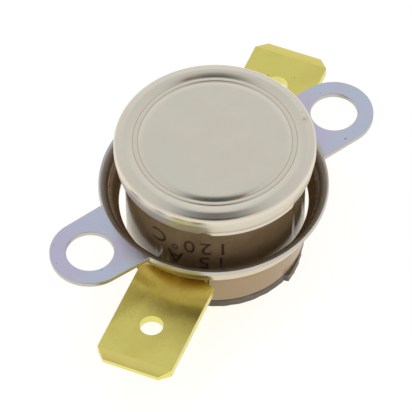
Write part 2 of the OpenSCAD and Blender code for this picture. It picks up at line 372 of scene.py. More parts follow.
def block(low: Place, high: Place) -> Piece:
    """Makes a block between two opposite corners, as a tool.

    Args:
        low: The lower corner.
        high: The upper corner.

    Returns:
        The block.
    """
    clear_selection()
    size = [abs(b - a) for a, b in zip(low, high)]
    centre = [(a + b) / 2 for a, b in zip(low, high)]
    bpy.ops.mesh.primitive_cube_add(size=1, location=centre, scale=size)
    bpy.ops.object.transform_apply(location=True, rotation=True, scale=True)
    return bpy.context.object


def soften_edges(piece: Piece, width: float, segments: int = 2) -> None:
    """Rounds the sharp edges to a width with some facets across, as a die or a mould leaves them."""
    settings = {"width": width, "segments": segments, "limit_method": "ANGLE"}
    add_modifier(piece, "BEVEL", {**settings, "angle_limit": math.radians(SHARP)})


def shade(piece: Piece) -> None:
    """Shades a piece smooth up to its sharp edges, with the large faces leading the normals.

    Args:
        piece: The object.
    """
    hold(piece)
    bpy.ops.object.shade_smooth_by_angle(angle=math.radians(SHARP))
    add_modifier(piece, "WEIGHTED_NORMAL", {"keep_sharp": True})


def seat_piece(
    piece: Piece,
    material: Material,
    node: str = "",
    body: Body = Body.SWITCH,
    turn: float = 0.0,
    shift: Place = (0.0, 0.0, 0.0),
) -> None:
    """Turns and shifts a piece into place, brings it to metres, dresses it and lets it ride.

    Args:
        piece: The object, modelled in millimetres.
        material: Its finish.
        node: The construction node that it stands for, if there is one.
        body: The body that it rides on.
        turn: Its turn round the axis, in degrees.
        shift: Its shift after the turn.
    """
    hold(piece)
    place = Matrix.Diagonal((MM, MM, MM, 1)) @ Matrix.Translation(shift)
    piece.matrix_world = place @ Matrix.Rotation(math.radians(turn), 4, "Z")
    bpy.ops.object.transform_apply(location=True, rotation=True, scale=True)
    piece.data.materials.clear()
    piece.data.materials.append(material)
    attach(piece, body.value)
    if node:
        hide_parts(node)
    LOG.info("%s: %d faces, %s", piece.name, len(piece.data.polygons), material.name)


# The finishes


def add_node(tree: bpy.types.NodeTree, kind: str, settings: Settings) -> Node:
    """Adds a node with its settings and links.

    Args:
        tree: The node tree.
        kind: The node's type, without the "ShaderNode" that all of them start with.
        settings: A value, or the socket that feeds it, by an input's name or number, and values by
            the names of properties.

    Returns:
        The new node.
    """
    node = tree.nodes.new("ShaderNode" + kind)
    inputs: Settings = {}
    for key, value in settings.items():
        if isinstance(key, int) or key in node.inputs:
            inputs[key] = value
        else:
            setattr(node, key, value)
    for key, value in inputs.items():
        if isinstance(value, Socket):
            tree.links.new(value, node.inputs[key])
        else:
            node.inputs[key].default_value = value
    return node


@dataclass
class Recipe:
    """A material while it is being mixed: its nodes, and the colour laid on it so far."""

    name: str
    base: str
    metallic: float
    roughness: float
    ior: float | None = None
    material: Material = field(init=False)
    tree: bpy.types.NodeTree = field(init=False)
    shader: Node = field(init=False)
    place: Socket = field(init=False)
    skin: object = field(init=False)

    def __post_init__(self) -> None:
        """Makes the material with its shader, its first colour and Object coordinates."""
        self.material = bpy.data.materials.new(self.name)
        self.material.use_nodes = True
        self.tree = self.material.node_tree
        self.shader = self.tree.nodes["Principled BSDF"]
        self.shader.inputs["Metallic"].default_value = self.metallic
        self.shader.inputs["Roughness"].default_value = self.roughness
        if self.ior is not None:
            self.shader.inputs["IOR"].default_value = self.ior
        self.skin = linear(self.base)
        self.place = self.add("TexCoord", {}).outputs["Object"]

    def add(self, kind: str, settings: Settings) -> Node:
        """Adds a node to this material."""
        return add_node(self.tree, kind, settings)

    def feed(self, name: str, value: Socket) -> None:
        """Links a value to an input of the shader."""
        self.tree.links.new(value, self.shader.inputs[name])

    def rise(self, value: Socket, low: float, high: float, start: float = 0.0, end: float = 1.0) -> Socket:
        """Passes smoothly from start, where a value is at low, to end, where it is at high."""
        span = {"From Min": low, "From Max": high, "To Min": start, "To Max": end}
        return self.add("MapRange", {"interpolation_type": "SMOOTHSTEP", **span, "Value": value}).outputs[0]

    def directed(self, turn: float, stretch: Place, centre: Place = (0.0, 0.0, 0.0)) -> Socket:
        """Gives coordinates that turn a pattern's X axis by degrees and stretch its grains by factors."""
        way = {"Location": centre, "Rotation": (0, 0, math.radians(turn)), "Scale": stretch}
        return self.add("Mapping", {"vector_type": "TEXTURE", **way, "Vector": self.place}).outputs[0]

    def clouds(
        self, size: float, low: float, high: float, where: Socket | None = None, detail: float = 3.0
    ) -> Socket:
        """Gives clouds with grains of a size in millimetres, from 0 to 1 between two levels of a noise."""
        grain = {"Scale": per_mm(size), "Detail": detail, "Vector": where or self.place}
        return self.rise(self.add("TexNoise", grain).outputs["Fac"], low, high)

    def part(self, axis: str) -> Socket:
        """Gives one of the Object coordinates, X, Y or Z, in metres."""
        return self.add("SeparateXYZ", {0: self.place}).outputs[axis]

    def reach(self, at: Point = (0.0, 0.0)) -> Socket:
        """Gives the distance in metres from an upright line, given by its X and Y in millimetres."""
        flat = self.add("VectorMath", {"operation": "MULTIPLY", 0: self.place, 1: (1, 1, 0)}).outputs[0]
        return self.add(
            "VectorMath", {"operation": "DISTANCE", 0: flat, 1: (at[0] * MM, at[1] * MM, 0)}
        ).outputs["Value"]

    def above(self, low: float, high: float) -> Socket:
        """Gives 0 at the first height and 1 at the second one, in millimetres, whichever is the higher."""
        return self.rise(self.part("Z"), low * MM, high * MM)

    def beyond(self, low: float, high: float) -> Socket:
        """Gives 0 at the first radius and 1 at the second one, in millimetres, whichever is the larger."""
        return self.rise(self.reach(), low * MM, high * MM)

    def ring(self, radius: float, width: float) -> Socket:
        """Gives 1 at a radius and 0 beyond width from it, in millimetres."""
        away = self.add("Math", {"operation": "SUBTRACT", 0: self.reach(), 1: radius * MM}).outputs[0]
        return self.rise(self.add("Math", {"operation": "ABSOLUTE", 0: away}).outputs[0], width * MM, 0)

    def spot(self, at: Point, width: float) -> Socket:
        """Gives 1 over a place in the plane of X and Y and 0 beyond width from it, in millimetres."""
        return self.rise(self.reach(at), width * MM, 0)

    def facing_up(self, low: float, high: float) -> Socket:
        """Gives 1 where the surface lies flat and faces up, and 0 where its normal's Z is under low."""
        normal = self.add("NewGeometry", {}).outputs["Normal"]
        return self.rise(self.add("SeparateXYZ", {0: normal}).outputs["Z"], low, high)

    def overlap(self, mask: Socket, *others: Socket | float) -> Socket:
        """Finds what masks have in common, by multiplying them.

        Args:
            mask: The first mask.
            others: Further masks, or numbers that weaken it.

        Returns:
            The common mask.
        """
        for other in others:
            mask = self.add("Math", {"operation": "MULTIPLY", 0: mask, 1: other}).outputs[0]
        return mask

    def lay(self, colour: str | Socket, *masks: Socket | float) -> None:
        """Lays a colour over what is there.

        Args:
            colour: Hex code or socket of the colour.
            masks: Where it shows: the masks' overlap, the first of which is a socket.
        """
        over = linear(colour) if isinstance(colour, str) else colour
        layers = {"data_type": "RGBA", 0: self.overlap(*masks), 6: self.skin, 7: over}
        self.skin = self.add("Mix", layers).outputs[2]
        self.feed("Base Color", self.skin)

    def relief(self, height: Socket, microns: float) -> None:
        """Gives the surface a relief, where a height of 1 stands for that many microns."""
        bump = {"Distance": microns * MM * MM, "Height": height}
        self.feed("Normal", self.add("Bump", bump).outputs["Normal"])


@dataclass(frozen=True)
class DrawnNickelSteel:
    """Nickel-plated steel sheet, brushed, then drawn: satin, warm grey, faintly clouded."""

    name: str = "nickel plated steel sheet, brushed and drawn"
    plate: str = "e2dfd6"
    warm: str = "e2dbd4"
    cool: str = "dcdfd6"
    # side: warmer tint below the face, a painted reflection of the pale table
    side: str = "e4dbce"
    crease_dark: str = "8f8871"
    painted_glint: str = "d89a62"
    scuff: str = "857b70"
    brush_turn: float = -27.0
    # Places of two painted warm glints on the groove's inner slope
    glints_and_wear: tuple[tuple[Point, float], ...] = (((3.9, -4.48), 0.9), ((-4.41, 4.98), 0.8))
    scuffs: tuple[tuple[Point, float], ...] = (((4.38, 6.13), 0.12), ((5.4, 5.2), 0.25), ((5.75, 4.6), 0.5))

    def material(self, creases: tuple[float, float], dull: float, face: float) -> Material:
        """Mixes the material.

        Args:
            creases: Radii of the groove's two creases, in millimetres.
            dull: Half the width of the darker band along each of them.
            face: Height of the face, which alone kept the marks of the brush.

        Returns:
            The material.
        """
        mix = Recipe(self.name, self.plate, metallic=1, roughness=0.27)
        mix.lay(self.warm, mix.clouds(2.2, 0.42, 0.62), 0.6)
        mix.lay(self.cool, mix.clouds(3, 0.45, 0.66, mix.directed(40, (1, 2, 1))), 0.5)
        # Below the face the metal is painted warmer, a painted reflection of the pale table in the cap's
        # side
        mix.lay(self.side, mix.above(face, face - 0.5))
        # The face is darker along the groove's two creases
        for crease in creases:
            mix.lay(self.crease_dark, mix.ring(crease, dull), 0.45)
        # Two painted warm glints on the groove's inner slope, a painted reflection of something warm
        for at, width in self.glints_and_wear:
            mix.lay(self.painted_glint, mix.spot(at, width), mix.ring(math.hypot(*at), 0.16), 0.8)
        for at, width in self.scuffs:
            mix.lay(self.scuff, mix.spot(at, width), mix.clouds(0.25, 0.42, 0.58), 0.45)
        # The brush's scratches are some 5 to 30 microns wide; they are drawn at 90 so that they show
        strokes = mix.clouds(0.09, 0.3, 0.7, mix.directed(self.brush_turn, (1 / 0.03, 1, 1)))
        strokes = mix.overlap(strokes, mix.above(face - 0.5, face))
        brushed = mix.rise(strokes, 0, 1, 0.245, 0.265)
        rolled = mix.above(face - 0.5, face - 0.9)
        rough = mix.add("Math", {"operation": "MULTIPLY_ADD", 0: rolled, 1: 0.19, 2: brushed})
        mix.feed("Roughness", rough.outputs[0])
        mix.relief(strokes, 0.06)
        return mix.material


@dataclass(frozen=True)
class PassivatedZinc:
    """Zinc-plated steel sheet, blue passivated: a thin film that drifts from blue to violet on the flat.
    Its sloping and upright faces are painted pale cream and grey, a painted reflection of the table and the
    tent."""

    name: str = "zinc plated steel sheet, blue passivated"
    film: str = "cad1eb"
    violet: str = "cdcbeb"
    cyan: str = "c3d4ec"
    rose: str = "d2cadf"
    # drawn and bent are painted reflection colours of the faces that don't lie flat: cream low down, grey
    # near the top
    drawn: str = "dfcfb8"
    bent: str = "c6c3c0"
    pit: str = "7d7a80"

    def material(self, rim: float, top: float) -> Material:
        """Mixes the material.

        Args:
            rim: Radius within which the sheet is drawn and every face takes the painted reflection, in
                millimetres.
            top: Height of the flat sheet.

        Returns:
            The material.
        """
        mix = Recipe(self.name, self.film, metallic=1, roughness=0.3)
        mix.lay(self.violet, mix.clouds(6, 0.42, 0.6))
        mix.lay(self.cyan, mix.clouds(5, 0.48, 0.66, mix.directed(30, (1, 1 / 1.4, 1), (0.02, 0, 0))))
        mix.lay(self.rose, mix.clouds(3.5, 0.56, 0.74, mix.directed(0, (1, 1, 1), (0, 0.03, 0))), 0.5)
        mix.lay(self.pit, mix.clouds(0.3, 0.76, 0.79, detail=1))
        # Faces that don't lie flat and face up are painted cream low down and grey near the top, a painted
        # reflection of the table and the tent
        flat = mix.overlap(mix.facing_up(0.9, 0.985), mix.beyond(rim - 0.1, rim + 0.2))
        shaped = mix.add("Math", {"operation": "SUBTRACT", 0: 1.0, 1: flat}).outputs[0]
        bend = mix.above(top - 0.9, top - 0.1)
        painted_sheen = {"data_type": "RGBA", 0: bend, 6: linear(self.drawn), 7: linear(self.bent)}
        mix.lay(mix.add("Mix", painted_sheen).outputs[2], shaped)
        mix.feed("Roughness", mix.rise(mix.clouds(3, 0.3, 0.7), 0, 1, 0.27, 0.33))
        mix.relief(mix.clouds(0.12, 0.3, 0.7), 0.1)
        return mix.material


@dataclass(frozen=True)
class RolledBrass:
    """Brass strip, rolled bright and punched: yellow with a cast of green, with painted shade at the root
    and a painted highlight on the coined tip.
    """

    name: str = "brass strip, rolled and punched"
    metal: str = "e6de80"
    dull: str = "e0d67a"
    # coined: lighter yellow of the bevel, a painted highlight
    coined: str = "eee286"
    painted_root_shade: str = "b8954f"
    speck: str = "8d7f3c"

    def material(self, root: float, tip: float) -> Material:
        """Mixes the material.

        Args:
            root: Distance from the axis within which the blade is painted darker, painted shade and
                reflection of the bracket and cap, in millimetres.
            tip: Distance from the axis past which the blade is coined, and painted a lighter yellow as a
                painted highlight.

        Returns:
            The material.
        """
        mix = Recipe(self.name, self.metal, metallic=1, roughness=0.24)
        mix.lay(self.dull, mix.clouds(2.4, 0.4, 0.65))
        # Painted shade and reflection of the bracket and cap, in patches near the root
        mix.lay(self.painted_root_shade, mix.beyond(root + 3.2, root), mix.clouds(2.6, 0.3, 0.62))
        mix.lay(self.speck, mix.clouds(0.24, 0.77, 0.8, detail=1))
        along = mix.add("Math", {"operation": "ABSOLUTE", 0: mix.part("Y")}).outputs[0]
        # The coined bevel is painted a lighter yellow, a painted highlight
        mix.lay(self.coined, mix.rise(along, (tip - 0.04) * MM, (tip + 0.04) * MM))
        # Rolling leaves lines some 10 microns wide; they are drawn at 120 so that they show
        lines = mix.clouds(0.12, 0.3, 0.7, mix.directed(0, (1, 1 / 0.03, 1)))
        glints_and_wear = {"operation": "MULTIPLY_ADD", 0: mix.clouds(1.5, 0.3, 0.7), 1: 1.5, 2: lines}
        mix.feed("Roughness", mix.rise(mix.add("Math", glints_and_wear).outputs[0], 0, 2.5, 0.21, 0.28))
        mix.relief(lines, 0.12)
        return mix.material


@dataclass(frozen=True)
class PhenolicMoulding:
    """Mineral-filled phenolic, compression moulded: opaque, hard, glossy, finely speckled with filler."""

    name: str = "phenolic moulding, tan, compression moulded"
    body: str = "867157"
    deep: str = "7a654b"
    # pale: painted light on the lower wall, which the table lights from below
    pale: str = "b99d7b"
    filler: str = "8f7b61"

    def material(self, painted_light_top: float) -> Material:
        """Mixes the material.

        Args:
            painted_light_top: Height about which the moulding is painted paler downwards, painted light from
                below, in millimetres.

        Returns:
            The material.
        """
        mix = Recipe(self.name, self.body, metallic=0, roughness=0.2, ior=1.52)
        mix.lay(self.deep, mix.clouds(2.5, 0.35, 0.65))
        mix.lay(self.filler, mix.clouds(0.12, 0.62, 0.74))
        # The lower wall is painted paler, painted light from the table below: one colour left it darker than
        # the real one
        mix.lay(self.pale, mix.above(painted_light_top + 0.8, painted_light_top - 1.4))
        grain = mix.clouds(0.5, 0.3, 0.7)
        mix.feed("Roughness", mix.rise(grain, 0, 1, 0.18, 0.22))
        mix.relief(grain, 0.3)
        return mix.material


@dataclass(frozen=True)
class PlainMoulding:
    """A moulded plastic or pressed ceramic of one colour: slight clouds, a fine grain and little gloss."""

    name: str
    body: str
    deep: str
    roughness: float
    ior: float
    grain: float = 0.15

    def material(self) -> Material:
        """Mixes the material.

        Returns:
            The material.
        """
        mix = Recipe(self.name, self.body, 0, self.roughness, self.ior)
        mix.lay(self.deep, mix.clouds(1.2, 0.35, 0.65))
        grain = mix.clouds(self.grain, 0.3, 0.7)
        mix.feed("Roughness", mix.rise(grain, 0, 1, self.roughness - 0.06, self.roughness + 0.06))
        mix.relief(grain, 2)
        return mix.material


@dataclass(frozen=True)
class WorkedMetal:
    """A small rolled or turned metal part: its tool's marks run one way."""

    name: str
    metal: str
    shade: str
    roughness: float
    turn: float = 0.0

    def material(self) -> Material:
        """Mixes the material.

        Returns:
            The material.
        """
        mix = Recipe(self.name, self.metal, 1, self.roughness)
        mix.lay(self.shade, mix.clouds(0.9, 0.35, 0.65))
        strokes = mix.clouds(0.06, 0.3, 0.7, mix.directed(self.turn, (1 / 0.08, 1, 1)))
        mix.feed("Roughness", mix.rise(strokes, 0, 1, self.roughness - 0.05, self.roughness + 0.05))
        mix.relief(strokes, 0.5)
        return mix.material


# The pieces


@dataclass
class SensorCap:
    """Drawn lid with a stamped ring groove, its edge rolled in under the flange of the case."""

    sheet: float = 0.3
    shoulder: float = 0.35
    crown: float = 7.1
    fall: float = 0.85
    fall_angle: float = 17.0
    roll: float = 0.13
    bead: float = 2.15
    mouth: float = 7.25
    creases: tuple[float, float] = (6.1, 6.49)
    crease_dark_width: float = 0.07
    slopes: tuple[float, float] = (0.68, 0.72)
    hollow: tuple[float, float] = (2.0, 1.6)
    groove_depth: float = 0.185
    ridge: float = 0.05
    die_round: float = 0.025
    lean_height: float = 1.13
    leans: tuple[float, float] = (9.0, 2.5)
    tight: tuple[float, float] = (20.0, 75.0)
    tight_fade: float = 4.0
    pinch: float = 0.05
    pinch_place: tuple[float, float] = (0.29, 0.19)
    burr: float = 0.04
    burr_place: tuple[float, float] = (0.09, 0.06)
    nick: tuple[float, float] = (14.9, 19.9)
    nick_height: float = 0.2
    roll_marks: float = 0.025
    finish: DrawnNickelSteel = DrawnNickelSteel()

    @property
    def height(self) -> float:
        """Height of the face above the base."""
        return box_of("sensor_cap")[1].z

    @property
    def radius(self) -> float:
        """Outside radius."""
        return box_of("sensor_cap")[1].x

    @property
    def low(self) -> float:
        """Height of the rolled edge's underside."""
        return self.height - self.bead

    def die_fall(self, r: float) -> float:
        """Gives how far the groove's die, with sharp creases, pushes the face down at a radius.

        Args:
            r: The radius.

        Returns:
            The fall.
        """
        inner, outer = self.creases
        if r < inner:
            return self.groove_depth * max(0.0, 1 - (inner - r) / self.slopes[0]) ** self.hollow[0]
        if r > outer:
            return self.groove_depth * max(0.0, 1 - (r - outer) / self.slopes[1]) ** self.hollow[1]
        across = (2 * r - inner - outer) / (outer - inner)
        return self.groove_depth - self.ridge * (1 - across**2)

    def groove_fall(self, r: float) -> float:
        """Gives how far the face lies under the flat at a radius, the die's edges being a little round."""
        near = [self.die_fall(r + self.die_round * i / 2) for i in range(-2, 3)]
        return sum(near) / len(near)

    def face_line(self, top: float) -> list[Point]:
        """Draws the face from the axis to where the groove ends.

        Args:
            top: Height of the flat.

        Returns:
            The section's points.
        """
        start = self.creases[0] - self.slopes[0]
        end = self.creases[1] + self.slopes[1]
        stops = [start, *self.creases, end]
        line = [(0, top), *between((0, top), (start, top), 8)]
        for (a, b), steps in zip(zip(stops, stops[1:]), (16, 14, 16)):
            radii = [a + (b - a) * i / steps for i in range(1, steps + 1)]
            line += [(r, top - self.groove_fall(r)) for r in radii]
        return line

    def roll_line(self, share: float = 0.0, lift: float = 0.0) -> list[Point]:
        """Draws the lower side and the rolled edge, always with as many points.

        Args:
            share: 0 where the edge is only rolled in, 1 where the roller pinched it tight.
            lift: How far the edge is cut away from below.

        Returns:
            The section's points, down the side and in to the mouth.
        """
        top = self.low + self.lean_height
        lean = self.leans[0] + (self.leans[1] - self.leans[0]) * share
        turn = math.radians(lean)
        inset = (self.roll + (self.lean_height - self.roll) * math.sin(turn)) / math.cos(turn)
        rounded = arc((self.radius - inset, self.low + self.roll), self.roll, -lean, -90, 10)
        side = between((self.radius, top), rounded[0], 18)[:-1]
        line = [(self.radius, top + 0.05), (self.radius, top), *side, *rounded, (self.mouth, self.low)]
        pinched = []
        for r, z in line:
            dip = self.pinch * bell(z - self.low, *self.pinch_place)
            burr = self.burr * bell(z - self.low, *self.burr_place)
            pinched.append((r + share * (burr - dip), max(z, self.low + lift)))
        return pinched

    def section(self, inset: float) -> list[Point]:
        """Draws the section from the axis over face and shoulder, down the side and round the roll.

        Args:
            inset: 0 for the outside, or the sheet's thickness for the inside.

        Returns:
            The section's points.
        """
        angle = math.radians(self.fall_angle)
        fall = arc((self.crown, self.height - self.fall), self.fall - inset, 90, 90 - self.fall_angle, 8)
        centre_r = self.radius - self.shoulder
        run = centre_r + self.shoulder * math.sin(angle) - self.crown - self.fall * math.sin(angle)
        drop = self.fall * (1 - math.cos(angle)) + run * math.tan(angle) + self.shoulder * math.cos(angle)
        centre = (centre_r, self.height - drop)
        shoulder = arc(centre, self.shoulder - inset, 90 - self.fall_angle, 0, 16)
        slope = between(fall[-1], shoulder[0], 4)
        line = [*self.face_line(self.height - inset), *fall[1:], *slope, *shoulder[1:]]
        if inset:
            return [*line, (self.radius - inset, self.low + inset), (self.mouth, self.low + inset)]
        return line + self.roll_line()

    def press_roll(self, cap: Piece) -> None:
        """Presses the roll: tight over one stretch, with the roller's nick at its left end.

        Args:
            cap: The turned cap.
        """
        plain = [Vector(p) for p in self.roll_line()]
        ring: dict[float, list[Point]] = {}
        for v in cap.data.vertices:
            place = Vector((math.hypot(v.co.x, v.co.y), v.co.z))
            if place.y > plain[0].y + WELD:
                continue
            i = min(range(len(plain)), key=lambda k: (plain[k] - place).length)
            if (plain[i] - place).length > WELD:
                continue
            azimuth = round(math.degrees(math.atan2(v.co.x, -v.co.y)), 3)
            if azimuth not in ring:
                start, end = self.tight
                fade = smooth_share(azimuth - start + self.tight_fade, self.tight_fade)
                share = fade * smooth_share(end - azimuth, self.tight_fade)
                cut = self.nick[0] < azimuth < self.nick[1]
                ring[azimuth] = self.roll_line(share, self.nick_height if cut else 0.0)
            r, z = ring[azimuth][i]
            v.co = (v.co.x * r / place.x, v.co.y * r / place.x, z)

    def mark_roll(self, cap: Piece) -> None:
        """Leaves the lower side and the rolled edge a little uneven, as the roller does.

        Args:
            cap: The turned cap.
        """
        middle_z = self.low + self.lean_height / 2
        group = cap.vertex_groups.new(name="roll")
        for v in cap.data.vertices:
            share = 1 - smooth_share(abs(v.co.z - middle_z), self.lean_height / 2)
            outer = math.hypot(v.co.x, v.co.y) > self.mouth + self.sheet
            group.add([v.index], share if outer else 0, "REPLACE")
        marks = bpy.data.textures.new("marks of the roller", "CLOUDS")
        marks.noise_scale = 0.7
        settings = {"texture": marks, "vertex_group": group.name, "mid_level": 0.5}
        add_modifier(cap, "DISPLACE", {**settings, "strength": self.roll_marks})

    def build(self) -> None:
        """Models the cap, presses and marks its rolled edge, and dresses it."""
        cap = turn_on_lathe("cap", self.section(0) + self.section(self.sheet)[::-1])
        self.press_roll(cap)
        self.mark_roll(cap)
        shade(cap)
        material = self.finish.material(self.creases, self.crease_dark_width, self.height)
        seat_piece(cap, material, "sensor_cap")


@dataclass
class SwitchCase:
    """Moulded case: a round wall with a floor across it, a flange on top and a slot for each blade."""

    wall: float = 1.32
    flange: float = 0.31
    flange_height: float = 0.65
    foot_round: float = 0.15
    edge_round: float = 0.06
    slot_width: float = 4.5
    slot_top: float = 4.35
    slot_end: float = 2.3
    floor_top: float = 5.2
    rivet_reach: float = 3.5
    rivet_hole: float = 0.7
    finish: PhenolicMoulding = PhenolicMoulding()

    @property
    def low(self) -> float:
        """Height of the underside."""
        return box_of("switch_case")[0].z

    @property
    def top(self) -> float:
        """Height of the upper edge."""
        return box_of("switch_case")[1].z

    @property
    def radius(self) -> float:
        """Outside radius under the flange."""
        return box_of("switch_case")[1].x - self.flange

    def build(self) -> None:
        """Models the case and dresses it."""
        chamber = self.radius - self.wall
        foot = arc((self.radius - self.foot_round, self.low + self.foot_round), self.foot_round, 0, -90, 5)
        edge = self.radius + self.flange
        case = turn_on_lathe("case", [
            (0, self.floor_top), (chamber, self.floor_top), (chamber, self.top), (edge, self.top),
            (edge, self.top - self.flange_height), (self.radius, self.top - self.flange_height), *foot,
            (chamber, self.low), (chamber, self.slot_top), (0, self.slot_top),
        ])
        half = self.slot_width / 2
        for sign in (-1, 1):
            slot = block((-half, sign * self.slot_end, 0), (half, sign * (self.radius + 1), self.slot_top))
            combine(case, slot)
            drill(case, (0, sign * self.rivet_reach, self.floor_top), self.rivet_hole)
        soften_edges(case, self.edge_round)
        shade(case)
        seat_piece(case, self.finish.material(self.slot_top), "switch_case")


@dataclass
class BaseCover:
    """Dark plate that closes the case from below, with a plug, two slot fillers and a swollen gate lobe."""

    plate: float = 0.8
    edge_round: float = 0.08
    plug: float = 1.5
    plug_radius: float = 5.82
    filler_width: float = 4.4
    filler_top: float = 3.55
    filler_reach: float = 7.12
    filler_end: float = 2.3
    pocket_low: float = 3.05
    pocket_radius: float = 1.1
    pocket_reach: float = 3.5
    lobe: float = 0.3
    lobe_angle: float = -16.5
    lobe_span: float = 24.5
    lobe_step: float = 3.0
    lobe_sink: float = 0.03
    lobe_root: float = 0.4
    lobe_inset: float = 0.04
    overlap: float = 0.1
    flash: float = 0.05
    flash_room: float = 0.02
    flash_size: float = 0.45
    facets: int = 144
    finish: PlainMoulding = PlainMoulding(
        "phenolic moulding, dark grey, edge left as moulded", "6c645b", "585149", 0.45, 1.55
    )

    @property
    def radius(self) -> float:
        """Radius of the plate, that of the case on it."""
        return -box_of("base_cover")[0].x

    def gate_lobe(self) -> Piece:
        """Models the lobe: the edge swells out to where the gate was broken off, and steps back.

        Returns:
            The lobe.
        """
        steps = 10
        corners = []
        for i in range(steps + 1):
            angle = math.radians(self.lobe_angle + self.lobe_span * (1 - i / steps))
            reach = self.radius - self.lobe_sink + (self.lobe + self.lobe_sink) * i / steps
            corners.append((reach * math.cos(angle), reach * math.sin(angle)))
        inner = self.radius - self.lobe_root
        for turn in (-self.lobe_step, self.lobe_span):
            angle = math.radians(self.lobe_angle + turn)
            corners.append((inner * math.cos(angle), inner * math.sin(angle)))
        return extrude_outline("lobe", corners, self.lobe_inset, self.plate - self.lobe_inset)

    def rough_edge(self, plate: Piece) -> None:
        """Leaves the plate's edge ragged, as its flash was broken off.

        Args:
            plate: The plate with its lobe.
        """
        for v in plate.data.vertices:
            reach = math.hypot(v.co.x, v.co.y)
            share = smooth_share(reach - self.radius + 0.2, 0.1)
            if not share or v.co.z > self.plate + WELD:
                continue
            push = self.flash * share * noise.noise(v.co / self.flash_size)
            v.co.x *= 1 + push / reach
            v.co.y *= 1 + push / reach

    def build(self) -> None:
        """Models the cover and dresses it."""
        half = self.filler_width / 2
        edge = self.radius - self.flash_room
        round_r = self.edge_round
        plug_top = self.plate + self.plug
        plate = turn_on_lathe("cover", [
            (0, 0), *between((0, 0), (edge - round_r, 0), 6),
            *arc((edge - round_r, round_r), round_r, -90, 0, 3)[1:],
            *between((edge, round_r), (edge, self.plate - round_r), 5),
            *arc((edge - round_r, self.plate - round_r), round_r, 0, 90, 3)[1:],
            (self.plug_radius, self.plate), (self.plug_radius, plug_top), (0, plug_top),
        ], self.facets)
        combine(plate, self.gate_lobe(), "UNION")
        for sign in (-1, 1):
            near = (-half, sign * self.filler_end, self.plate - self.overlap)
            combine(plate, block(near, (half, sign * self.filler_reach, self.filler_top)), "UNION")
            pocket = (0, sign * self.pocket_reach, self.pocket_low + THROUGH / 2)
            drill(plate, pocket, self.pocket_radius)
        self.rough_edge(plate)
        shade(plate)
        seat_piece(plate, self.finish.material(), "base_cover")


@dataclass
class BladeTerminal:
    """Flat blade with cut corners, a coined tip and a hole, its neck passing through the case."""

    side: Side
    width: float = 6.3
    thick: float = 0.8
    hole_reach: float = 13.2
    hole_radius: float = 0.93
    corner_length: float = 0.9
    corner_width: float = 0.82
    coin_length: float = 0.88
    coin_fall: float = 0.2
    neck_width: float = 4.4
    neck_reach: float = 7.6
    shoulder: float = 0.4
    foot: float = 2.3
    rivet_reach: float = 3.5
    rivet_radius: float = 0.7
    edge_round: float = 0.05
    dimple: Place = (0.98, -13.86, 0.06)
    dimple_radius: float = 0.2
    root: float = 7.2
    finish: RolledBrass = RolledBrass()

    @property
    def node(self) -> str:
        """Name of the construction node that the blade stands for."""
        return f"{self.side.name.lower()}_terminal"

    @property
    def top(self) -> float:
        """Height of the upper face."""
        return box_of(self.node)[1].z

    @property
    def tip(self) -> float:
        """Distance from the axis to the tip."""
        return max(abs(corner.y) for corner in box_of(self.node))

    def outline(self) -> list[Point]:
        """Draws the flat outline of the front blade, which points along -Y.

        Returns:
            The outline's corners in order.
        """
        half, neck = self.width / 2, self.neck_width / 2
        shoulder = self.neck_reach + self.shoulder
        right = [
            (neck, -self.foot), (neck, -self.neck_reach), (half, -shoulder),
            (half, self.corner_length - self.tip), (half - self.corner_width, -self.tip),
        ]
        return right + [(-x, y) for x, y in reversed(right)]

    def coin(self, blade: Piece, up: int) -> None:
        """Cuts the bevel of one face at the tip.

        Args:
            blade: The blade.
            up: 1 for the upper face, -1 for the lower one.
        """
        face = self.top if up > 0 else self.top - self.thick
        edit(blade)
        bpy.ops.mesh.bisect(
            plane_co=(0, self.coin_length - self.tip, face),
            plane_no=(0, -self.coin_fall, self.coin_length * up),
            use_fill=True,
            clear_outer=True,
        )
        bpy.ops.object.mode_set(mode="OBJECT")

    def build(self) -> None:
        """Models the blade and dresses it."""
        name = f"{self.side.name.lower()}_blade"
        blade = extrude_outline(name, self.outline(), self.top - self.thick, self.top)
        self.coin(blade, 1)
        self.coin(blade, -1)
        middle_z = self.top - self.thick / 2
        drill(blade, (0, -self.hole_reach, middle_z), self.hole_radius)
        drill(blade, (0, -self.rivet_reach, middle_z), self.rivet_radius)
        if self.side is Side.REAR:
            clear_selection()
            x, y, depth = self.dimple
            at = (x, y, self.top + self.dimple_radius - depth)
            bpy.ops.mesh.primitive_uv_sphere_add(radius=self.dimple_radius, location=at)
            combine(blade, bpy.context.object)
        soften_edges(blade, self.edge_round)
        shade(blade)
        material = self.finish.material(self.root, self.tip - self.coin_length)
        seat_piece(blade, material, self.node, turn=self.side.value)


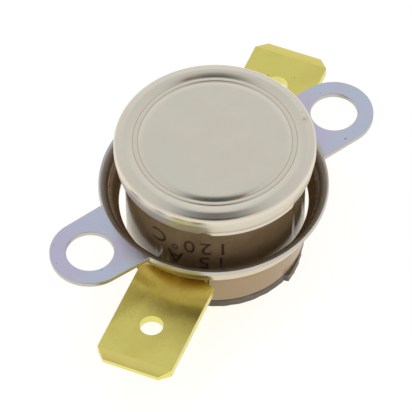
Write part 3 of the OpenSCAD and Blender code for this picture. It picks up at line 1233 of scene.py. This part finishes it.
@dataclass
class MountingBracket:
    """Sheet drawn to a round bowl with a lip, and two ears: it lies loose round the case."""

    sheet: float = 0.42
    rim: float = 9.15
    bowl: float = 8.34
    lip: float = 7.6
    blade_top: float = 4.35
    rim_bend: float = 0.93
    bend_end: float = 97.4
    ear_reach: float = 12.0
    ear_radius: float = 3.19
    ear_hole: float = 1.9
    die_round: float = 0.1
    turn: float = 58.2
    shift: Place = (-0.15, 0.02, 0.0)
    rim_steps: int = 276
    root_steps: int = 16
    side_steps: int = 6
    end_steps: int = 52
    finish: PassivatedZinc = PassivatedZinc()

    @property
    def top(self) -> float:
        """Height of the ears' upper face."""
        return box_of("mounting_bracket")[1].z

    @property
    def bend_z(self) -> float:
        """Height at which the wall passes into the bend of the rim."""
        return self.top - self.rim_bend * math.sin(math.radians(self.bend_end))

    @property
    def wall(self) -> float:
        """Radius of the round wall that ends on the blades where the lip is pierced.

        Returns:
            The inner face's radius.
        """
        width = self.bowl - self.lip
        height = self.bend_z - self.blade_top
        return (width**2 + height**2 - self.sheet**2) / (2 * (width + self.sheet))

    def wall_end(self, spare: float) -> float:
        """Gives the angle at which a face, spare further out than the inner one, meets the lip."""
        return -math.degrees(math.acos((self.lip - self.bowl + self.wall) / (self.wall + spare)))

    def bowl_line(self) -> list[Point]:
        """Draws the upper and inner face of the sheet, from the lip out to the rim.

        Returns:
            The section's points.
        """
        inside = arc((self.bowl - self.wall, self.bend_z), self.wall, self.wall_end(0), 0, 22)
        outside = arc((self.bowl + self.rim_bend, self.bend_z), self.rim_bend, 180, self.bend_end, 18)
        return [*inside, *outside[1:-1], (self.rim, self.top)]

    def pierce_lip(self, sheet: Piece) -> None:
        """Draws the wall's outer face on down to the pierced lip, so that the cut stands upright.

        Args:
            sheet: The bracket, with its thickness.
        """
        stretch = self.wall_end(self.sheet) / self.wall_end(0)
        centre = self.bowl - self.wall
        for v in sheet.data.vertices:
            reach = math.hypot(v.co.x, v.co.y)
            away = math.hypot(reach - centre, v.co.z - self.bend_z)
            if v.co.z > self.bend_z or away < self.wall + self.sheet / 2:
                continue
            angle = math.atan2(v.co.z - self.bend_z, reach - centre) * stretch
            across = (centre + away * math.cos(angle)) / reach
            v.co = (v.co.x * across, v.co.y * across, self.bend_z + away * math.sin(angle))

    def ear_line(self, side: int) -> list[Vector]:
        """Draws the edge of an ear from one root on the rim to the other.

        Args:
            side: 1 for the ear on +X, -1 for the one on -X.

        Returns:
            The edge's points.
        """
        angle = math.tau * self.root_steps / self.rim_steps
        root = (self.rim * math.cos(angle), self.rim * math.sin(angle))
        half = [root, *between(root, (self.ear_reach, self.ear_radius), self.side_steps)]
        end = arc((self.ear_reach, 0), self.ear_radius, 90, -90, self.end_steps)
        line = [*half, *end[1:-1], *[(x, -y) for x, y in reversed(half)]]
        return [Vector((side * x, side * y, self.top)) for x, y in line]

    def add_ear(self, sheet: Piece, side: int) -> None:
        """Extrudes the edge of an ear, draws its hole and fills the sheet between the two.

        Args:
            sheet: The sheet, in edit mode.
            side: 1 for the ear on +X, -1 for the one on -X.
        """
        line = self.ear_line(side)
        pick(sheet, Select.POINT, lambda v: (v.co - line[0]).length < 0.01)
        extrude_along(line)
        weld()
        bpy.ops.mesh.select_all(action="DESELECT")
        hole_at = (side * self.ear_reach, 0, self.top)
        bpy.ops.mesh.primitive_circle_add(vertices=HOLE_FACETS, radius=self.ear_hole, location=hole_at)
        root = abs(line[0].x) - 0.01
        pick(sheet, Select.EDGE, lambda e: not e.is_manifold and min(v.co.x * side for v in e.verts) > root)
        bpy.ops.mesh.fill(use_beauty=True)

    def build(self) -> None:
        """Models the bracket and dresses it."""
        sheet = draw("bracket", [(r, 0, z) for r, z in self.bowl_line()])
        spin_all(self.rim_steps)
        for side in (1, -1):
            self.add_ear(sheet, side)
        face_outwards()
        if max(sheet.data.polygons, key=lambda f: f.center.x).normal.z < 0:
            edit(sheet)
            bpy.ops.mesh.flip_normals()
            bpy.ops.object.mode_set(mode="OBJECT")
        add_modifier(sheet, "SOLIDIFY", {"thickness": self.sheet, "offset": -1, "use_even_offset": True})
        self.pierce_lip(sheet)
        soften_edges(sheet, self.die_round, 3)
        shade(sheet)
        material = self.finish.material(self.rim, self.top)
        seat_piece(
            sheet, material, "mounting_bracket", Body.BRACKET, self.turn, self.shift
        )


@dataclass
class InkMark:
    """Plain figures, pad-printed upside down on the case."""

    name: str
    text: str
    size: float = 2.05
    spacing: float = 1.3
    boldness: float = 0.012
    height: float = 7.6
    turn: float = 5.0
    radius: float = 7.195
    strip: float = 0.25
    finish: PlainMoulding = PlainMoulding("pad printing ink, dark brown", "35291d", "46382a", 0.5, 1.45, 0.1)

    def build(self) -> None:
        """Sets the figures, cuts them into narrow strips and wraps them round the case."""
        clear_selection()
        bpy.ops.object.text_add()
        mark = bpy.context.object
        mark.name = self.name
        mark.data.body = self.text
        mark.data.size = self.size
        mark.data.align_x = "CENTER"
        mark.data.align_y = "CENTER"
        mark.data.space_character = self.spacing
        mark.data.offset = self.boldness
        bpy.ops.object.convert(target="MESH")
        edit(mark)
        reach = max(abs(v.co.x) for v in bmesh.from_edit_mesh(mark.data).verts)
        for i in range(1, int(2 * reach / self.strip) + 1):
            bpy.ops.mesh.select_all(action="SELECT")
            bpy.ops.mesh.bisect(plane_co=(i * self.strip - reach, 0, 0), plane_no=(1, 0, 0))
        bpy.ops.object.mode_set(mode="OBJECT")
        for v in mark.data.vertices:
            angle = math.radians(self.turn) - v.co.x / self.radius
            across, up = self.radius * math.sin(angle), self.height - v.co.y
            v.co = (across, -self.radius * math.cos(angle), up)
        seat_piece(mark, self.finish.material())


@dataclass
class ContactWorks:
    """The hidden works, whose construction nodes are dressed as they are."""

    finishes: dict[str, PlainMoulding | WorkedMetal] = field(default_factory=lambda: {
        "bimetal_disc": WorkedMetal("bimetal strip, rolled", "bdb7ab", "aaa294", 0.3, 20),
        "guide_plate": PlainMoulding("phenolic moulding, cream, matt", "d8cba8", "cabb95", 0.5, 1.55),
        "push_pin": PlainMoulding("steatite ceramic, pressed and fired", "e9e5d8", "ddd7c6", 0.35, 1.6),
        "contact_spring": WorkedMetal("beryllium bronze strip, rolled", "d6a66a", "c2915a", 0.25, 90),
        "moving_contact": WorkedMetal("silver contact, turned", "ebe9e4", "d5d2ca", 0.3),
        "fixed_contact": WorkedMetal("silver contact, turned", "ebe9e4", "d5d2ca", 0.3),
        "fixed_contact_bracket": WorkedMetal("brass strip, rolled and bent", "ecdf76", "d9c867", 0.28, 90),
        "spring_rivet": WorkedMetal("brass wire, headed", "dfcf86", "c9b873", 0.32),
        "fixed_rivet": WorkedMetal("brass wire, headed", "dfcf86", "c9b873", 0.32),
    })
    springs: dict[str, tuple[str, float, float]] = field(default_factory=lambda: {
        "bimetal_disc": ("bimetal", 11.45, 0.3),
        "contact_spring": ("spring_bronze", 5.2, 0.8667),
    })

    def sprung_copy(self, node: str) -> None:
        """Stands a copy in for a node that gives as the pin goes down.

        Args:
            node: Name of the construction node.
        """
        hold(frame["nodes"][node])
        bpy.ops.object.duplicate()
        piece = bpy.context.object
        bpy.ops.object.parent_clear(type="CLEAR_KEEP_TRANSFORM")
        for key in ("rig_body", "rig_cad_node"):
            if key in piece:
                del piece[key]
        piece.name = f"{node}_sprung"
        edit(piece)
        bpy.ops.mesh.remove_doubles(threshold=WELD * MM)
        bpy.ops.object.mode_set(mode="OBJECT")
        bpy.ops.object.shade_smooth_by_angle(angle=math.radians(SHARP))
        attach(piece, Body.SWITCH.value)
        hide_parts(node)
        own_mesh(piece)

    def build(self) -> None:
        """Dresses each node of the works, and stands a copy in for the disc and for the leaf spring."""
        for node, finish in self.finishes.items():
            material = finish.material()
            part = frame["nodes"][node]
            part.data.materials.clear()
            part.data.materials.append(material)
            LOG.info("%s: construction node, %s", node, material.name)
        for node, (slot, still, keep) in self.springs.items():
            self.sprung_copy(node)


@dataclass
class Studio:
    """A pale table in a white light tent, with the opening of the tent over the camera."""

    azimuth: float = 22.855
    elevation: float = 51.944
    distance: float = 312.51
    aim: Place = (-0.757, -1.6437, 6.0)
    roll: float = -0.6346
    focal_px: float = 3926.8
    frame_px: float = 412.0
    sensor: float = 36.0
    table: str = "fffff7"
    table_paint: str = "f2f1ea"
    table_seen: str = "fff0d6"
    table_shade: str = "0089f9"
    glow: tuple[float, float] = (1.07, 3.0)
    glow_share: float = 0.35
    glow_mirrored: float = 0.5
    tent: str = "f4f2ec"
    tent_top: float = 0.8
    tent_turn: float = 0.8
    opening_elevation: float = 71.0
    opening_height: float = 31.0
    opening_width: float = 20.0
    opening_level: float = 0.05
    opening_edge: tuple[float, float] = (0.75, 1.2)
    table_size: float = 2.4

    def camera(self) -> None:
        """Sets the camera where the photograph was taken."""
        data = bpy.data.cameras.new("camera")
        data.sensor_width = self.sensor
        data.lens = self.focal_px * self.sensor / self.frame_px
        data.clip_start, data.clip_end = 0.01, 10
        camera = bpy.data.objects.new("camera", data)
        bpy.context.scene.collection.objects.link(camera)
        bpy.context.scene.camera = camera
        aim = Matrix.Rotation(math.radians(self.azimuth), 4, "Z") @ Vector(self.aim)
        back = heading(self.azimuth, self.elevation)
        look = (-back).to_track_quat("-Z", "Y").to_matrix().to_4x4()
        roll = Matrix.Rotation(math.radians(self.roll), 4, "Z")
        camera.matrix_world = Matrix.Translation((aim + back * self.distance) * MM) @ look @ roll

    def floor(self) -> None:
        """Lays the table: white to the camera with a faint shadow, and glowing a little from below."""
        clear_selection()
        bpy.ops.mesh.primitive_plane_add(size=self.table_size)
        table = bpy.context.object
        table.name = "table"
        mix = Recipe("matt white table, lit from below", self.table_paint, metallic=0, roughness=0.9)
        mix.shader.inputs["Specular IOR Level"].default_value = 0
        ray = mix.add("LightPath", {})
        seen, mirrored = ray.outputs["Is Camera Ray"], ray.outputs["Is Glossy Ray"]
        mix.lay(self.table_shade, seen)
        tone = {"data_type": "RGBA", 0: seen, 6: linear(self.table), 7: linear(self.table_seen)}
        light = {"Color": mix.add("Mix", tone).outputs[2], "Strength": mix.rise(seen, 0, 1, *self.glow)}
        glow = mix.add("Emission", light).outputs[0]
        # The glow reaches every kind of ray, so the object gets some of its light from below
        added = {"operation": "MULTIPLY_ADD", 0: mirrored, 1: self.glow_mirrored, 2: self.glow_share}
        share = mix.add("Math", added).outputs[0]
        both = mix.add("MixShader", {0: share, 1: mix.shader.outputs[0], 2: glow}).outputs[0]
        mix.tree.links.new(both, mix.tree.nodes["Material Output"].inputs["Surface"])
        table.data.materials.append(mix.material)

    def tent_light(self) -> None:
        """Hangs the tent: bright all round, a little dimmer above, dark at its opening."""
        world = bpy.data.worlds.new("light tent")
        bpy.context.scene.world = world
        world.use_nodes = True
        tree = world.node_tree
        tree.nodes.clear()
        way = add_node(tree, "TexCoord", {}).outputs["Generated"]
        height = add_node(tree, "SeparateXYZ", {0: way}).outputs["Z"]
        dimming = {"From Max": self.tent_turn, "To Min": 1.0, "To Max": self.tent_top}
        level = add_node(tree, "MapRange", {"From Min": 0.0, **dimming, "Value": height}).outputs[0]
        # Seen along the opening's axis, the tent's cloth ends at an ellipse, narrower than it is high
        tilt = (math.radians(90 - self.opening_elevation), 0.0, math.radians(self.azimuth))
        facing = {"vector_type": "TEXTURE", "Rotation": tilt, "Vector": way}
        turned = add_node(tree, "Mapping", facing).outputs["Vector"]
        size = [1 / math.sin(math.radians(a)) for a in (self.opening_width, self.opening_height)]
        shaped = add_node(tree, "VectorMath", {"operation": "MULTIPLY", 0: turned, 1: (*size, 0)})
        away = add_node(tree, "VectorMath", {"operation": "LENGTH", 0: shaped.outputs[0]}).outputs["Value"]
        dark, bright = self.opening_edge
        edge = {"From Min": dark, "From Max": bright, "To Min": self.opening_level, "To Max": 1.0}
        eased = {"interpolation_type": "SMOOTHSTEP", **edge, "Value": away}
        opening = add_node(tree, "MapRange", eased).outputs[0]
        strength = add_node(tree, "Math", {"operation": "MULTIPLY", 0: level, 1: opening}).outputs[0]
        cloth = add_node(tree, "Background", {"Color": linear(self.tent), "Strength": strength}).outputs[0]
        white = add_node(tree, "Background", {"Color": linear(self.table), "Strength": 1.0}).outputs[0]
        seen = add_node(tree, "LightPath", {}).outputs["Is Camera Ray"]
        both = add_node(tree, "MixShader", {0: seen, 1: cloth, 2: white}).outputs[0]
        add_node(tree, "OutputWorld", {"Surface": both})

    def build(self) -> None:
        """Sets camera, table and tent."""
        self.camera()
        self.floor()
        self.tent_light()
        bpy.context.scene.view_settings.view_transform = "Standard"


def main() -> None:
    """Builds the studio and the pieces in order."""
    logging.basicConfig(level=logging.INFO, format="%(relativeCreated)d ms: %(message)s")
    Studio().build()
    SensorCap().build()
    SwitchCase().build()
    InkMark("upper_figures", "120°C").build()
    InkMark("lower_figures", "15 A", height=5.8, turn=10.5).build()
    BaseCover().build()
    for side in Side:
        BladeTerminal(side).build()
    MountingBracket().build()
    ContactWorks().build()
    clear_selection()


if __name__ == "__main__":
    main()
